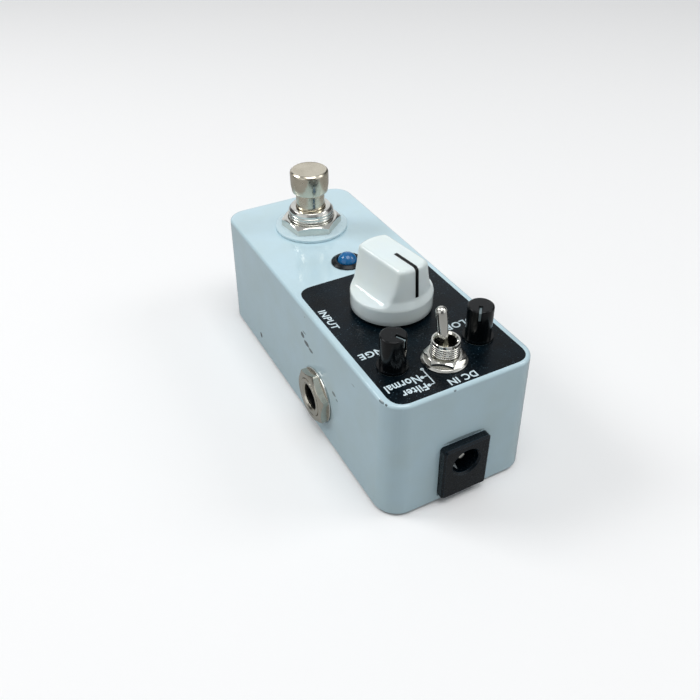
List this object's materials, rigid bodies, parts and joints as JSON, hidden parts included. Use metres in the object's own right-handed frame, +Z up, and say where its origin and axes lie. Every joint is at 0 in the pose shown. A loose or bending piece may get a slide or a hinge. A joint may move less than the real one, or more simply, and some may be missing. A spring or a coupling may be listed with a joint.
{
  "type": "guitar effects pedal",
  "caption": "Small die-cast guitar effects pedal with a foot switch, a large knob, small trim knobs, a toggle, side jacks and a power inlet.",
  "frame": {"origin": "centre of the rubber pad's underside, the face that the pedal stands on", "axes": "+X towards the input jack, +Y towards the end with the power inlet, +Z up"},
  "size_m": [0.0426, 0.0952, 0.0487],
  "materials": {
    "shell_paint": "gloss enamel, faintly worn at the edges",
    "plate_metal": "satin",
    "screw_steel": "zinc plated",
    "pad_rubber": "fine grained",
    "board_green": "solder mask",
    "chip_black": "moulded",
    "can_alu": "satin",
    "bezel_black": "soft black",
    "led_blue": "tinted, clear",
    "nickel": "bright nickel plate",
    "cap_nickel": "bright nickel plate, lightly scratched",
    "spring_steel": "drawn wire",
    "nylon_white": "translucent nylon",
    "switch_blue": "moulded",
    "knob_white": "glossy, slightly translucent",
    "knob_black": "semi gloss",
    "pot_case": "tinned",
    "jack_black": "moulded",
    "contact_brass": "plated leaf",
    "inlet_black": "moulded",
    "ribbon_grey": "flat ribbon",
    "solder_pin": "tinned"
  },
  "bodies": {
    "case": {"enclosure_shell": "shell_paint", "base_plate": "plate_metal", "base_screws": "screw_steel", "rubber_pad": "pad_rubber", "main_board": "board_green", "board_chips": "chip_black", "board_capacitors": "can_alu", "board_resistors": "chip_black", "board_trimmers": "switch_blue", "pot_pins": "solder_pin", "led_bezel": "bezel_black", "led_lens": "led_blue", "led_legs": "solder_pin", "footswitch_body": "pot_case", "footswitch_base": "switch_blue", "footswitch_bushing": "nickel", "footswitch_inner_nut": "nickel", "footswitch_lock_washer": "nickel", "footswitch_washer": "nylon_white", "footswitch_nut": "nickel", "footswitch_spring": "spring_steel", "footswitch_terminals": "solder_pin", "switch_board": "board_green", "ribbon_cable": "ribbon_grey", "ribbon_header": "nylon_white", "main_pot_body": "pot_case", "main_pot_bushing": "nickel", "main_pot_washer": "nickel", "main_pot_nut": "nickel", "left_pot_body": "pot_case", "right_pot_body": "pot_case", "toggle_body": "jack_black", "toggle_bushing": "nickel", "toggle_pivot_pin": "spring_steel", "toggle_washer": "nickel", "toggle_nut": "nickel", "toggle_terminals": "solder_pin", "inlet_body": "inlet_black", "inlet_pin": "nickel", "inlet_contact": "nickel", "inlet_terminals": "solder_pin", "input_jack_body": "jack_black", "input_jack_bushing": "nickel", "input_jack_washer": "nickel", "input_jack_nut": "nickel", "input_jack_contacts": "contact_brass", "input_jack_terminals": "solder_pin", "output_jack_body": "jack_black", "output_jack_bushing": "nickel", "output_jack_washer": "nickel", "output_jack_nut": "nickel", "output_jack_contacts": "contact_brass", "output_jack_terminals": "solder_pin"},
    "footswitch_plunger": {"footswitch_button": "cap_nickel"},
    "knob": {"main_knob": "knob_white", "main_pot_shaft": "nickel"},
    "left_pot": {"left_pot_shaft": "knob_black"},
    "right_pot": {"right_pot_shaft": "knob_black"},
    "lever": {"toggle_lever": "nickel"}
  },
  "joints": [
    {"name": "footswitch_press", "type": "slide", "parent": "case", "child": "footswitch_plunger", "axis": [0, 0, -1], "range_m": [0, 0.003], "stiffness_N_per_m": 900, "springref_m": -0.004, "deforming": ["footswitch_spring"]},
    {"name": "knob_turn", "type": "hinge", "parent": "case", "child": "knob", "pos_m": [0, 0.0146, 0.04], "axis": [0, 0, 1], "range_deg": [-158.5, 141.5]},
    {"name": "left_pot_turn", "type": "hinge", "parent": "case", "child": "left_pot", "pos_m": [-0.0108, 0.0337, 0.036], "axis": [0, 0, 1], "range_deg": [-111, 189]},
    {"name": "right_pot_turn", "type": "hinge", "parent": "case", "child": "right_pot", "pos_m": [0.0108, 0.0337, 0.036], "axis": [0, 0, 1], "range_deg": [-177, 123]},
    {"name": "toggle_flip", "type": "hinge", "parent": "case", "child": "lever", "pos_m": [0, 0.0369, 0.0334], "axis": [-1, 0, 0], "range_deg": [0, 28]}
  ]
}
